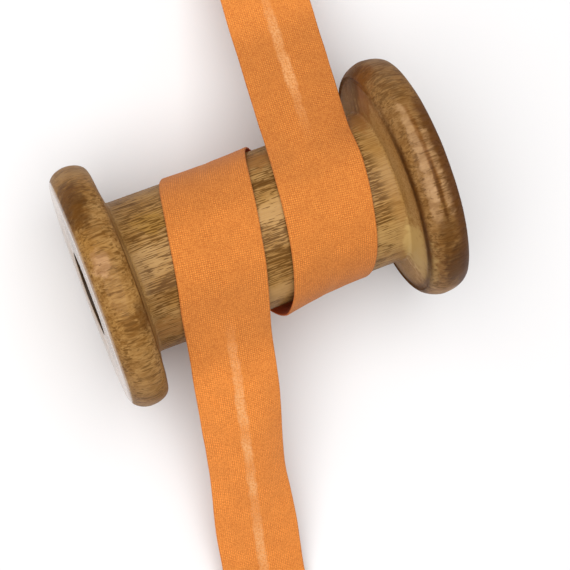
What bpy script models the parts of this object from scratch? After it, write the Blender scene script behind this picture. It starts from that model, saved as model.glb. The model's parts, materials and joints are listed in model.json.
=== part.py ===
"""A turned wooden spool carrying one strip of single-fold bias binding.

X runs along the spool's axis, Y along the table the way the loose ends lie, and Z up.
The origin is on the table under the middle of the spool. Every length is in metres.
"""

import math

import bmesh
import bpy
import numpy as np
from mathutils import Vector

# Spool
SPOOL_LENGTH = 0.1028
BARREL_RADIUS = 0.0225
BORE_RADIUS = 0.0123
RIM_RADIUS = 0.0360
REST_FLAT_DEPTH = 0.00025
AXIS_HEIGHT = RIM_RADIUS - REST_FLAT_DEPTH
BORE_CHAMFER = 0.0005
INNER_FACE_AT_BARREL = 0.0130
BARREL_FILLET = 0.0009
QUIRK_DEPTH = 0.0006
QUIRK_HALF_WIDTH = 0.0004
TURNING_STEPS = 72
RIM_STEPS = 6
SPOOL_SHARP_DEG = 32.0
SAME_POINT = 0.000001

# Each flange was turned by hand, so the two rims differ a little.
# side, thickness at the rim, radius of the flat end face, crest behind the end face,
# radius where the round meets the inner face, fullness of the inner round
FLANGES = (
    ("left", 0.0116, 0.0313, 0.0059, 0.0327, 2.0),
    ("right", 0.0118, 0.0335, 0.0063, 0.0329, 1.5),
)

# Binding
TAPE_WIDTH = 0.025
TAPE_THICKNESS = 0.001
BARREL_CLEARANCE = 0.00035
WRAP_STEP_DEG = 7.0
LOOSE_STEP = 0.005
LOOSE_HEADING = 0.146
LIFT_CURVE = 1.6
TAPE_ON_TABLE = TAPE_THICKNESS / 2
SMALLEST_BOW = 0.0001
TAPE_SHARP_DEG = 40.0

# The folded strip cut across, with a shallow channel where the two turned-in edges stop short.
# place as a share of the half width, height as a share of the thickness above the middle
FOLDED_SECTION = (
    (-1.00, 0.0),
    (-0.97, 0.5),
    (-0.66, 0.5),
    (-0.33, 0.5),
    (0.0, 0.5),
    (0.33, 0.5),
    (0.66, 0.5),
    (0.97, 0.5),
    (1.00, 0.0),
    (0.97, -0.5),
    (0.55, -0.5),
    (0.13, -0.5),
    (0.11, 0.0),
    (-0.11, 0.0),
    (-0.13, -0.5),
    (-0.55, -0.5),
    (-0.97, -0.5),
)

# The turn round the barrel. The angle is 0 on top, 90 on the +Y side and runs on below zero.
# angle in degrees, middle of the tape along X, lift of its left edge, lift of its right edge
WRAP = (
    (28, 0.0194, 0.0002, 0.0004),
    (0, 0.0177, 0.0001, 0.0001),
    (-40, 0.0154, 0.0003, 0.0001),
    (-60, 0.0142, 0.0011, 0.0001),
    (-90, 0.0120, 0.0026, 0.0001),
    (-130, 0.0083, 0.0020, 0.0002),
    (-180, 0.0030, 0.0006, 0.0004),
    (-230, -0.0026, 0.0002, 0.0006),
    (-275, -0.0078, 0.0001, 0.0006),
    (-300, -0.0106, 0.0001, 0.0004),
    (-330, -0.0130, 0.0001, 0.0002),
    (-360, -0.0152, 0.0001, 0.0001),
    (-396, -0.0174, 0.0003, 0.0003),
)

# The loose ends run straight on from the barrel, row by row down to the table.
# place along Y, height above the table, crown across the width, width there
UPPER_END = (
    (0.0216, 0.0506, 0.0020, 0.0248),
    (0.0360, 0.0430, 0.0014, 0.0249),
    (0.0510, 0.0352, 0.0006, 0.0251),
    (0.0665, 0.0273, 0.0004, 0.0251),
    (0.0810, 0.0200, 0.0004, 0.0250),
    (0.0950, 0.0126, 0.0003, 0.0250),
    (0.1070, 0.0060, 0.0002, 0.0250),
    (0.1150, 0.0022, 0.0001, 0.0250),
    (0.1230, TAPE_ON_TABLE, 0.0, 0.0250),
    (0.1310, TAPE_ON_TABLE, 0.0, 0.0250),
    (0.1400, TAPE_ON_TABLE, 0.0, 0.0250),
)
LOWER_END = (
    (-0.0265, 0.0474, 0.0016, 0.0248),
    (-0.0406, 0.0406, 0.0017, 0.0248),
    (-0.0500, 0.0357, 0.0024, 0.0246),
    (-0.0593, 0.0302, 0.0030, 0.0241),
    (-0.0680, 0.0246, 0.0030, 0.0241),
    (-0.0770, 0.0187, 0.0018, 0.0247),
    (-0.0864, 0.0131, 0.0008, 0.0252),
    (-0.0944, 0.0088, 0.0004, 0.0252),
    (-0.1040, 0.0045, 0.0002, 0.0251),
    (-0.1130, 0.0017, 0.0001, 0.0250),
    (-0.1220, TAPE_ON_TABLE, 0.0, 0.0250),
    (-0.1310, TAPE_ON_TABLE, 0.0, 0.0250),
    (-0.1400, TAPE_ON_TABLE, 0.0, 0.0250),
)


def material(name, colour, roughness):
    """A plain Principled finish."""
    finish = bpy.data.materials.new(name)
    finish.use_nodes = True
    shader = finish.node_tree.nodes["Principled BSDF"]
    shader.inputs["Base Color"].default_value = (*colour, 1.0)
    shader.inputs["Roughness"].default_value = roughness
    shader.inputs["Metallic"].default_value = 0.0
    finish.diffuse_color = (*colour, 1.0)
    return finish


def flange_profile(thickness, face_radius, crest, round_radius, fullness):
    """Points from the bore's mouth to the barrel, as distance behind the end face and radius."""
    points = [(BORE_CHAMFER, BORE_RADIUS), (0.0, BORE_RADIUS + BORE_CHAMFER)]
    for step in range(RIM_STEPS + 1):
        turn = 0.5 * math.pi * step / RIM_STEPS
        points.append((
            crest * (1.0 - math.cos(turn)),
            face_radius + (RIM_RADIUS - face_radius) * math.sin(turn),
        ))
    for step in range(1, RIM_STEPS + 1):
        turn = 0.5 * math.pi * step / RIM_STEPS
        across = math.sin(turn) ** (2.0 / fullness)
        up = max(math.cos(turn), 0.0) ** (2.0 / fullness)
        points.append((
            crest + (thickness - crest) * across,
            round_radius + (RIM_RADIUS - round_radius) * up,
        ))
    points.append((thickness - QUIRK_DEPTH, round_radius - QUIRK_HALF_WIDTH))
    points.append((thickness, round_radius - 2.0 * QUIRK_HALF_WIDTH))
    for turn in (0.0, 0.25 * math.pi, 0.5 * math.pi):
        points.append((
            INNER_FACE_AT_BARREL + BARREL_FILLET * (1.0 - math.cos(turn)),
            BARREL_RADIUS + BARREL_FILLET * (1.0 - math.sin(turn)),
        ))
    return points


def spool_profile():
    """The closed outline that is turned round the axis, as places along X and radii."""
    left, right = (flange_profile(*row[1:]) for row in FLANGES)
    half = SPOOL_LENGTH / 2
    outline = [(depth - half, radius) for depth, radius in left]
    outline += [(half - depth, radius) for depth, radius in reversed(right)]
    return outline


def flatten_rims(bm):
    """Cut the two small flats that the rims stand on, and close them."""
    cut = bmesh.ops.bisect_plane(
        bm, geom=bm.verts[:] + bm.edges[:] + bm.faces[:], clear_outer=True,
        plane_co=(0.0, 0.0, -AXIS_HEIGHT), plane_no=(0.0, 0.0, -1.0),
    )
    outlines = [part for part in cut["geom_cut"] if isinstance(part, bmesh.types.BMEdge)]
    bmesh.ops.edgeloop_fill(bm, edges=outlines)


def make_spool(finish):
    """Turn the profile round X, with flats on the rims where they stand."""
    bm = bmesh.new()
    verts = [bm.verts.new((x, 0.0, radius)) for x, radius in spool_profile()]
    edges = [bm.edges.new((a, b)) for a, b in zip(verts, verts[1:] + verts[:1])]
    bmesh.ops.spin(
        bm, geom=verts + edges, cent=(0.0, 0.0, 0.0), axis=(1.0, 0.0, 0.0),
        angle=2.0 * math.pi, steps=TURNING_STEPS, use_duplicate=False,
    )
    bmesh.ops.remove_doubles(bm, verts=bm.verts, dist=SAME_POINT)
    flatten_rims(bm)
    bmesh.ops.recalc_face_normals(bm, faces=bm.faces)
    mesh = bpy.data.meshes.new("wooden_spool")
    bm.to_mesh(mesh)
    bm.free()
    mesh.shade_smooth()
    mesh.set_sharp_from_angle(angle=math.radians(SPOOL_SHARP_DEG))
    mesh.materials.append(finish)
    spool = bpy.data.objects.new("wooden_spool", mesh)
    spool.location = (0.0, 0.0, AXIS_HEIGHT)
    bpy.context.collection.objects.link(spool)
    return spool


def wrap_rows():
    """Rows of x, y, z, crown, width, left lift and right lift on the turn round the barrel."""
    angles, places, left_lifts, right_lifts = (np.array(column) for column in zip(*WRAP))
    steps = round((angles[0] - angles[-1]) / WRAP_STEP_DEG)
    radius = BARREL_RADIUS + BARREL_CLEARANCE + TAPE_THICKNESS / 2
    rows = []
    for angle in np.linspace(angles[0], angles[-1], steps + 1):
        place = np.interp(-angle, -angles, places)
        left = np.interp(-angle, -angles, left_lifts)
        right = np.interp(-angle, -angles, right_lifts)
        turn = math.radians(angle)
        height = AXIS_HEIGHT + radius * math.cos(turn)
        rows.append((place, radius * math.sin(turn), height, 0.0, TAPE_WIDTH, left, right))
    return rows


def loose_rows(table, leaves_at):
    """The same rows for a loose end, which runs straight on from where it leaves the barrel."""
    rows = []
    for along, height, crown, width in table:
        side = leaves_at[0] + LOOSE_HEADING * (along - leaves_at[1])
        rows.append((side, along, height, crown, width, 0.0, 0.0))
    return rows


def smooth_rows(rows, step):
    """Rows on a smooth curve through the given ones, at most about one step apart."""
    knots = np.array(rows)
    gaps = np.linalg.norm(np.diff(knots[:, :3], axis=0), axis=1)
    along = np.concatenate([[0.0], np.cumsum(gaps)])
    slopes = np.gradient(knots, along, axis=0)
    smooth = [knots[0]]
    for start, end, leave, arrive, gap in zip(knots, knots[1:], slopes, slopes[1:], gaps):
        count = max(1, round(gap / step))
        for t in np.arange(1, count + 1) / count:
            smooth.append(
                (2 * t**3 - 3 * t**2 + 1) * start + (t**3 - 2 * t**2 + t) * gap * leave
                + (3 * t**2 - 2 * t**3) * end + (t**3 - t**2) * gap * arrive
            )
    return np.array(smooth)


def tape_rows():
    """The whole strip, from the end on the +Y side to the end on the -Y side."""
    turn = wrap_rows()
    upper = loose_rows(reversed(UPPER_END), turn[0])
    lower = loose_rows(LOWER_END, turn[-1])
    return smooth_rows(upper + turn + lower, LOOSE_STEP)


def tape_section(row, heading):
    """Points round the folded strip where it is cut across at one row."""
    middle = Vector(row[:3])
    crown, width, left_lift, right_lift = (float(value) for value in row[3:])
    outward = Vector((0.0, heading.z, -heading.y)).normalized()
    across = outward.cross(heading).normalized()
    bow = max(4.0 * crown / width, SMALLEST_BOW)
    radius = 0.5 * width / bow
    points = []
    for share, level in FOLDED_SECTION:
        angle = bow * share
        core = middle + across * radius * math.sin(angle)
        core -= outward * radius * (1.0 - math.cos(angle))
        core += outward * left_lift * ((1.0 - share) / 2) ** LIFT_CURVE
        core += outward * right_lift * ((1.0 + share) / 2) ** LIFT_CURVE
        core.z = max(core.z, TAPE_ON_TABLE)
        thickness = outward * math.cos(angle) + across * math.sin(angle)
        points.append(core + thickness * level * TAPE_THICKNESS)
    return points


def make_binding(finish):
    """Join the sections along the strip's route into one closed sheet."""
    rows = tape_rows()
    headings = np.gradient(rows[:, :3], axis=0)
    bm = bmesh.new()
    rings = []
    for row, heading in zip(rows, headings):
        section = tape_section(row, Vector(heading).normalized())
        rings.append([bm.verts.new(point) for point in section])
    for near, far in zip(rings, rings[1:]):
        for a, b, c, d in zip(near, far, far[1:] + far[:1], near[1:] + near[:1]):
            bm.faces.new((a, b, c, d))
    bm.faces.new(rings[0])
    bm.faces.new(reversed(rings[-1]))
    bmesh.ops.recalc_face_normals(bm, faces=bm.faces)
    mesh = bpy.data.meshes.new("bias_binding")
    bm.to_mesh(mesh)
    bm.free()
    mesh.shade_smooth()
    mesh.set_sharp_from_angle(angle=math.radians(TAPE_SHARP_DEG))
    mesh.materials.append(finish)
    binding = bpy.data.objects.new("bias_binding", mesh)
    bpy.context.collection.objects.link(binding)
    return binding


def main():
    for old in list(bpy.data.objects):
        bpy.data.objects.remove(old, do_unlink=True)
    wood = material("varnished_wood", (0.36, 0.20, 0.08), 0.35)
    cotton = material("orange_cotton", (0.72, 0.24, 0.05), 0.85)
    make_spool(wood)
    make_binding(cotton)


main()
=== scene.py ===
# %% [markdown]
# # A wooden spool with one strip of bias binding
# Bias binding is a narrow strip cut at 45 degrees to the weave, so that it stretches round curves.
# Both raw edges are pressed under, which leaves a thin line along the middle where the cloth is
# one layer deep. This strip goes once round a turned wooden spool and runs out to both sides.
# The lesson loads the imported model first, because its boxes give the spool's size and place.

import json
import math

import bpy
import numpy as np
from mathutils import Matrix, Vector, noise

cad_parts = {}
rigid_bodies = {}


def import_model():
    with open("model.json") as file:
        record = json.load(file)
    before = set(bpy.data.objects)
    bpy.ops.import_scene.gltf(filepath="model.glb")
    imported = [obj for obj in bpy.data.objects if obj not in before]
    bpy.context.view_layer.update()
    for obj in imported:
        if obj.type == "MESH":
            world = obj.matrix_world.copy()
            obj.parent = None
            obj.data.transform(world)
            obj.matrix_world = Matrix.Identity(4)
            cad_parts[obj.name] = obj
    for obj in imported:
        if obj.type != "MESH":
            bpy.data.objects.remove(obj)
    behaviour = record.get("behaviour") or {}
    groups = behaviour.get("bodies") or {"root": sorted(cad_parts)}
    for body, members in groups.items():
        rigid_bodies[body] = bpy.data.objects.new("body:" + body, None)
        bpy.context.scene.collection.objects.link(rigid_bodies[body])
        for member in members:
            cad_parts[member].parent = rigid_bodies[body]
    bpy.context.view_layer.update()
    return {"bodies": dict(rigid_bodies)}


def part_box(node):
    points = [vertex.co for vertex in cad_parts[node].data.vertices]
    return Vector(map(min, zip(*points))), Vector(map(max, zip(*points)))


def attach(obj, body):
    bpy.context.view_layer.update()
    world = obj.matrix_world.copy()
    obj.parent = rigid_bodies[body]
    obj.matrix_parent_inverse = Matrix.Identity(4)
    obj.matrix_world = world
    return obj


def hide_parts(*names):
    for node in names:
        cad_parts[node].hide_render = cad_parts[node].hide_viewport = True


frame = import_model()
spool_low, spool_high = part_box("wooden_spool")
RIM_RADIUS = (spool_high.y - spool_low.y) / 2
SPOOL_LENGTH = spool_high.x - spool_low.x
AXIS_HEIGHT = spool_high.z - RIM_RADIUS
print("spool", round(SPOOL_LENGTH, 4), "long, rims", round(RIM_RADIUS, 4), "in radius")

# %% [markdown]
# ## Camera
# The camera looks almost straight down, turned about the vertical so that the spool lies
# diagonally. It stands a little past the left end, so the end face just shows as a sliver.
# A long lens keeps the two flanges nearly the same size.

# %% Place the camera
CAMERA_PLACE = (-0.06916, 0.00578, 0.49859)
CAMERA_TURN_DEG = (0.4147, -9.2107, -20.4789)
CAMERA_LENS_MM = 102.6
SENSOR_WIDTH_MM = 36.0

lens = bpy.data.cameras.new("overhead_camera")
lens.lens = CAMERA_LENS_MM
lens.sensor_width = SENSOR_WIDTH_MM
camera = bpy.data.objects.new("overhead_camera", lens)
camera.location = CAMERA_PLACE
camera.rotation_euler = [math.radians(turn) for turn in CAMERA_TURN_DEG]
bpy.context.scene.collection.objects.link(camera)
bpy.context.scene.camera = camera
print("camera", [round(place, 3) for place in camera.location])

# %% [markdown]
# ## Floor and light
# The table is bright white and the light comes from a large soft box overhead, with a white
# sky all round. The sky matters for the varnish: the rims mirror it at a glancing angle, which
# gives them their pale edges. The Standard view keeps the white white.

# %% Lay the floor and hang the light
FLOOR_SIZE = 4.0
FLOOR_DROP = 0.0002
FLOOR_COLOUR = (0.79, 0.78, 0.78, 1.0)
FLOOR_ROUGHNESS = 0.7
SKY_COLOUR = (1.0, 0.995, 1.0, 1.0)
SKY_STRENGTH = 0.36
SOFTBOX_SIZE = 1.2
SOFTBOX_PLACE = (-0.16, 0.06, 1.0)
SOFTBOX_WATTS = 14.8

bpy.ops.object.select_all(action="DESELECT")
bpy.ops.mesh.primitive_plane_add(size=FLOOR_SIZE, location=(0.0, 0.0, -FLOOR_DROP))
table_top = bpy.context.object
table_top.name = "table_top"
paint = bpy.data.materials.new("white_table")
paint.use_nodes = True
paint_shader = paint.node_tree.nodes["Principled BSDF"]
paint_shader.inputs["Base Color"].default_value = FLOOR_COLOUR
paint_shader.inputs["Roughness"].default_value = FLOOR_ROUGHNESS
table_top.data.materials.append(paint)

sky = bpy.data.worlds.new("white_sky")
sky.use_nodes = True
sky.node_tree.nodes["Background"].inputs["Color"].default_value = SKY_COLOUR
sky.node_tree.nodes["Background"].inputs["Strength"].default_value = SKY_STRENGTH
bpy.context.scene.world = sky
bpy.context.scene.view_settings.view_transform = "Standard"

lamp = bpy.data.lights.new("softbox", "AREA")
lamp.size = SOFTBOX_SIZE
lamp.energy = SOFTBOX_WATTS
softbox = bpy.data.objects.new("softbox", lamp)
softbox.location = SOFTBOX_PLACE
softbox.rotation_euler = (-Vector(SOFTBOX_PLACE)).to_track_quat("-Z", "Y").to_euler()
bpy.context.scene.collection.objects.link(softbox)
print("softbox", SOFTBOX_WATTS, "W over the table")

# %% [markdown]
# ## The spool's profile
# A spool like this is turned on a lathe from one piece of wood, so the natural way to make it
# is the turner's own: draw half of its outline and spin that round the axis. A loft or a stack
# of cylinders would leave seams where the real one has none. The flanges were shaped by hand,
# so each has its own crest and roundness. A fine groove parts the rim from the inner face.

# %% Draw half of the outline
BARREL_RADIUS = 0.0225
BORE_RADIUS = 0.0123
MOUTH_ROUND = 0.0005
INNER_FACE_AT_BARREL = 0.0130
GROOVE_DEPTH = 0.0005
GROOVE_WIDTH = 0.0014
ROUND_STEPS = 14
GROOVE_STEPS = 8
COVE_STEPS = 8
BARREL_STEPS = 40

# side, thickness at the rim, radius of the flat end face, crest behind the end face,
# radius where the round meets the inner face, fullness of the inner round, cove at the barrel
FLANGES = (
    ("left", 0.0116, 0.0313, 0.0059, 0.0327, 2.0, 0.0010),
    ("right", 0.0118, 0.0335, 0.0063, 0.0329, 1.5, 0.0009),
)


def flange_outline(thickness, face_radius, crest, round_radius, fullness, cove):
    """Depth behind the end face and radius, from the mouth of the bore down to the barrel."""
    points = [(MOUTH_ROUND, BORE_RADIUS), (MOUTH_ROUND * 0.3, BORE_RADIUS + MOUTH_ROUND * 0.3)]
    points.append((0.0, BORE_RADIUS + MOUTH_ROUND))
    for turn in np.linspace(0.0, math.pi / 2, ROUND_STEPS):
        rise = (RIM_RADIUS - face_radius) * math.sin(turn)
        points.append((crest * (1.0 - math.cos(turn)), face_radius + rise))
    for turn in np.linspace(0.0, math.pi / 2, ROUND_STEPS)[1:]:
        along = (thickness - crest) * math.sin(turn) ** (2.0 / fullness)
        rise = (RIM_RADIUS - round_radius) * max(math.cos(turn), 0.0) ** (2.0 / fullness)
        points.append((crest + along, round_radius + rise))
    for share in np.linspace(0.0, 1.0, GROOVE_STEPS)[1:]:
        depth = thickness - GROOVE_DEPTH * math.sin(math.pi * share)
        points.append((depth, round_radius - GROOVE_WIDTH * share))
    for turn in np.linspace(0.0, math.pi / 2, COVE_STEPS):
        points.append((
            INNER_FACE_AT_BARREL + cove * (1.0 - math.cos(turn)),
            BARREL_RADIUS + cove * (1.0 - math.sin(turn)),
        ))
    return points


def spool_outline():
    """The whole closed outline as points in the XZ plane, standing on the spool's axis."""
    left, right = (flange_outline(*row[1:]) for row in FLANGES)
    half = SPOOL_LENGTH / 2
    outline = [(depth - half, radius) for depth, radius in left]
    ends = (left[-1][0] - half, half - right[-1][0])
    outline += [(x, BARREL_RADIUS) for x in np.linspace(*ends, BARREL_STEPS)[1:-1]]
    outline += [(half - depth, radius) for depth, radius in reversed(right)]
    return [Vector((x, 0.0, AXIS_HEIGHT + radius)) for x, radius in outline]


outline = spool_outline()
print("outline has", len(outline), "points")

# %% [markdown]
# ## Turning the spool
# A plane is merged to one point, and that point is extruded from place to place along the
# outline, as with the E key. Spin then carries the outline once round the axis. Doubles are
# merged before the normals are recalculated, because a spun shape can come out inside out.

# %% Spin the outline
SEED_SIZE = 0.01
TURNING_STEPS = 160
SAME_POINT = 0.000001

bpy.ops.object.select_all(action="DESELECT")
bpy.ops.mesh.primitive_plane_add(size=SEED_SIZE)
spool = bpy.context.object
spool.name = "turned_spool"
bpy.ops.object.mode_set(mode="EDIT")
bpy.ops.mesh.select_all(action="SELECT")
bpy.ops.mesh.merge(type="CENTER")
bpy.ops.transform.translate(value=outline[0])
for here, there in zip(outline, outline[1:] + outline[:1]):
    bpy.ops.mesh.extrude_vertices_move(TRANSFORM_OT_translate={"value": there - here})
bpy.ops.mesh.select_all(action="SELECT")
bpy.ops.mesh.remove_doubles(threshold=SAME_POINT)
bpy.ops.mesh.spin(
    steps=TURNING_STEPS, angle=2.0 * math.pi, center=(0.0, 0.0, AXIS_HEIGHT), axis=(1.0, 0.0, 0.0)
)
bpy.ops.mesh.select_all(action="SELECT")
bpy.ops.mesh.remove_doubles(threshold=SAME_POINT)
bpy.ops.mesh.normals_make_consistent(inside=False)
bpy.ops.object.mode_set(mode="OBJECT")
print("spun spool has", len(spool.data.polygons), "faces")

# %% [markdown]
# ## Making it hand made
# A lathe with a hand-held gouge leaves slow waves in the surface. A Displace modifier with a
# cloud texture gives them, and it only moves the wood inwards, so the binding still fits.
# Bisect then cuts the two small flats that the rims stand on, and fills them. Its threshold is
# made small, because the usual one lets points a tenth of a millimetre below the cut stay.

# %% Roughen the turning and cut the flats
WAVE_SIZE = 0.014
WAVE_DEPTH = 0.00022
WOOD_SMOOTH_DEG = 38.0

waves = bpy.data.textures.new("gouge_waves", "CLOUDS")
waves.noise_scale = WAVE_SIZE
bpy.ops.object.modifier_add(type="DISPLACE")
gouge = spool.modifiers[-1]
gouge.texture = waves
gouge.texture_coords = "LOCAL"
gouge.strength = WAVE_DEPTH
gouge.mid_level = 1.0
bpy.ops.object.modifier_apply(modifier=gouge.name)
bpy.ops.object.mode_set(mode="EDIT")
bpy.ops.mesh.select_all(action="SELECT")
bpy.ops.mesh.bisect(
    plane_co=(0.0, 0.0, 0.0), plane_no=(0.0, 0.0, 1.0), use_fill=True, clear_inner=True,
    threshold=SAME_POINT,
)
bpy.ops.object.mode_set(mode="OBJECT")
bpy.ops.object.shade_smooth_by_angle(angle=math.radians(WOOD_SMOOTH_DEG))
print("lowest point of the spool", round(min(vert.co.z for vert in spool.data.vertices), 6))

# %% [markdown]
# ## The binding's route
# The strip is followed from its upper end, over the barrel, once round behind it, over again,
# and out to its lower end. Round the barrel each row gives an angle and how far each edge
# stands off the wood. On the loose ends each row gives a height above the table.

# %% Tables of the route
TAPE_WIDTH = 0.025
CLOTH_THICKNESS = 0.00026
LAYER_STEP = 0.00034
WOOD_CLEARANCE = 0.00005
OUTER_LAYER = WOOD_CLEARANCE + LAYER_STEP + CLOTH_THICKNESS / 2
LOOSE_HEADING = 0.146
TURN_STEP_DEG = 7.0
ROW_STEP = 0.0011

# angle in degrees, middle of the strip along X, lift of its left edge, lift of its right edge
TURN = (
    (28, 0.0194, 0.0004, 0.0004),
    (0, 0.0177, 0.0006, 0.0001),
    (-40, 0.0154, 0.0009, 0.0001),
    (-60, 0.0142, 0.0014, 0.0001),
    (-90, 0.0120, 0.0024, 0.0001),
    (-130, 0.0083, 0.0018, 0.0002),
    (-180, 0.0030, 0.0006, 0.0004),
    (-230, -0.0026, 0.0002, 0.0005),
    (-275, -0.0078, 0.0001, 0.0005),
    (-300, -0.0106, 0.0001, 0.0004),
    (-330, -0.0130, 0.0001, 0.0002),
    (-360, -0.0152, 0.0001, 0.0001),
    (-396, -0.0174, 0.0003, 0.0003),
)

# place along Y, height above the table, crown across the width, width there
UPPER_END = (
    (0.0216, 0.0506, 0.0020, 0.0248),
    (0.0360, 0.0430, 0.0014, 0.0249),
    (0.0510, 0.0352, 0.0006, 0.0251),
    (0.0665, 0.0273, 0.0004, 0.0251),
    (0.0810, 0.0200, 0.0004, 0.0250),
    (0.0950, 0.0126, 0.0003, 0.0250),
    (0.1070, 0.0060, 0.0002, 0.0250),
    (0.1150, 0.0022, 0.0001, 0.0250),
    (0.1230, OUTER_LAYER, 0.0, 0.0250),
    (0.1310, OUTER_LAYER, 0.0, 0.0250),
    (0.1400, OUTER_LAYER, 0.0, 0.0250),
)
LOWER_END = (
    (-0.0265, 0.0474, 0.0016, 0.0248),
    (-0.0406, 0.0406, 0.0017, 0.0248),
    (-0.0500, 0.0357, 0.0024, 0.0246),
    (-0.0593, 0.0302, 0.0030, 0.0241),
    (-0.0680, 0.0246, 0.0030, 0.0241),
    (-0.0770, 0.0187, 0.0018, 0.0247),
    (-0.0864, 0.0131, 0.0008, 0.0252),
    (-0.0944, 0.0088, 0.0004, 0.0252),
    (-0.1040, 0.0045, 0.0002, 0.0251),
    (-0.1130, 0.0017, 0.0001, 0.0250),
    (-0.1220, OUTER_LAYER, 0.0, 0.0250),
    (-0.1310, OUTER_LAYER, 0.0, 0.0250),
    (-0.1400, OUTER_LAYER, 0.0, 0.0250),
)
print("route tables have", len(UPPER_END) + len(TURN) + len(LOWER_END), "rows")

# %% [markdown]
# ## From tables to a route
# The rows round the barrel lie on a circle, and those of the loose ends on a straight line seen
# from above. A smooth curve through all of them gives many more rows, about a millimetre apart.
# A Curve object could do this too, but it would twist the strip in its own way.

# %% Turn the tables into one smooth route
def turn_rows():
    """Rows of x, y, z, crown, width, left lift and right lift on the way round the barrel."""
    angles, places, left_lifts, right_lifts = (np.array(column) for column in zip(*TURN))
    steps = round((angles[0] - angles[-1]) / TURN_STEP_DEG)
    radius = BARREL_RADIUS + OUTER_LAYER
    rows = []
    for angle in np.linspace(angles[0], angles[-1], steps + 1):
        place, left, right = (
            np.interp(-angle, -angles, column) for column in (places, left_lifts, right_lifts)
        )
        turn = math.radians(angle)
        height = AXIS_HEIGHT + radius * math.cos(turn)
        rows.append((place, radius * math.sin(turn), height, 0.0, TAPE_WIDTH, left, right))
    return rows


def loose_rows(table, leaves_at):
    """The same rows for a loose end, which runs straight on from where it leaves the barrel."""
    rows = []
    for along, height, crown, width in table:
        side = leaves_at[0] + LOOSE_HEADING * (along - leaves_at[1])
        rows.append((side, along, height, crown, width, 0.0, 0.0))
    return rows


def smooth_rows(rows, step):
    """Rows on a smooth curve through the given ones, at most about one step apart."""
    knots = np.array(rows)
    gaps = np.linalg.norm(np.diff(knots[:, :3], axis=0), axis=1)
    along = np.concatenate([[0.0], np.cumsum(gaps)])
    slopes = np.gradient(knots, along, axis=0)
    smooth = [knots[0]]
    for start, end, leave, arrive, gap in zip(knots, knots[1:], slopes, slopes[1:], gaps):
        count = max(1, round(gap / step))
        for t in np.arange(1, count + 1) / count:
            smooth.append(
                (2 * t**3 - 3 * t**2 + 1) * start + (t**3 - 2 * t**2 + t) * gap * leave
                + (3 * t**2 - 2 * t**3) * end + (t**3 - t**2) * gap * arrive
            )
    return np.array(smooth)


turn = turn_rows()
upper = loose_rows(reversed(UPPER_END), turn[0])
lower = loose_rows(LOWER_END, turn[-1])
route = smooth_rows(upper + turn + lower, ROW_STEP)
steps_along = np.linalg.norm(np.diff(route[:, :3], axis=0), axis=1)
run = np.concatenate([[0.0], np.cumsum(steps_along)])

# %% [markdown]
# ## The folded section
# Cut across, the strip is a flat loop of cloth: one outer layer, a tight fold at each edge,
# and two turned-in edges that stop short of each other. It is written as one line of points
# from raw edge to raw edge. The same points carry their distance through the cloth, which
# later tells the weave where it is, also round the folds.

# %% Points across the folded strip
OPEN_CENTRE = 0.0030
FOLD_STEPS = 6
LAYER_STEPS = 30
TURN_IN_STEPS = 10


def folded_section():
    """Place across, level above the outer layer, and distance through the cloth."""
    bend = LAYER_STEP / 2
    edge = TAPE_WIDTH / 2 - bend
    half = [(across, 0.0) for across in np.linspace(0.0, edge, LAYER_STEPS // 2)]
    for turned in np.linspace(0.0, math.pi, FOLD_STEPS + 1)[1:]:
        half.append((edge + bend * math.sin(turned), bend * (math.cos(turned) - 1.0)))
    turned_in = np.linspace(edge, OPEN_CENTRE / 2, TURN_IN_STEPS)[1:]
    half += [(across, -LAYER_STEP) for across in turned_in]
    points = [(-across, level) for across, level in reversed(half[1:])] + half
    gaps = [math.dist(here, there) for here, there in zip(points, points[1:])]
    through = np.concatenate([[0.0], np.cumsum(gaps)])
    through -= through[-1] / 2
    return [(across, level, place) for (across, level), place in zip(points, through)]


section = folded_section()

# %% [markdown]
# ## Laying the cloth
# Each row of the route gets the section, bent to its crown and with its edges lifted. Cloth is
# never quite even, so the folds waver a little along the strip, the turned-in edges more, and
# the outer layer has slow shallow waves. The line in the middle sinks slightly between the
# turned-in edges. No point may sink into the table.

# %% Bend the section to each row
FOLD_WAVER, FOLD_PERIOD = 0.00022, 0.022
RAW_EDGE_WAVER, RAW_EDGE_PERIOD = 0.0007, 0.012
SURFACE_WAVE, WAVE_ALONG, WAVE_ACROSS = 0.00010, 0.016, 0.009
CENTRE_DIP, DIP_HALF_WIDTH = 0.00010, 0.45 * OPEN_CENTRE
LIFT_CURVE = 1.6
SMALLEST_BOW = 0.0001
TABLE_CLEARANCE = 0.00012
LOWEST = CLOTH_THICKNESS / 2 + TABLE_CLEARANCE


def waver(along, period, seed):
    """A slow uneven wave between about -1 and 1."""
    return noise.noise(Vector((along / period, seed, 0.5))) + noise.noise(
        Vector((2.7 * along / period, seed, 3.5))
    ) / 2.0


def cloth_lift(share, across, level, along, left_lift, right_lift):
    """How far the cloth stands off its route: lifted edges, slow waves and the dip."""
    lift = left_lift * ((1.0 - share) / 2) ** LIFT_CURVE
    lift += right_lift * ((1.0 + share) / 2) ** LIFT_CURVE
    wave_place = Vector((along / WAVE_ALONG, across / WAVE_ACROSS, 7.0))
    lift += SURFACE_WAVE * (1.0 + noise.noise(wave_place)) / 2
    if level == 0.0:
        lift -= CENTRE_DIP * math.exp(-((across / DIP_HALF_WIDTH) ** 2))
    return lift


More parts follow.
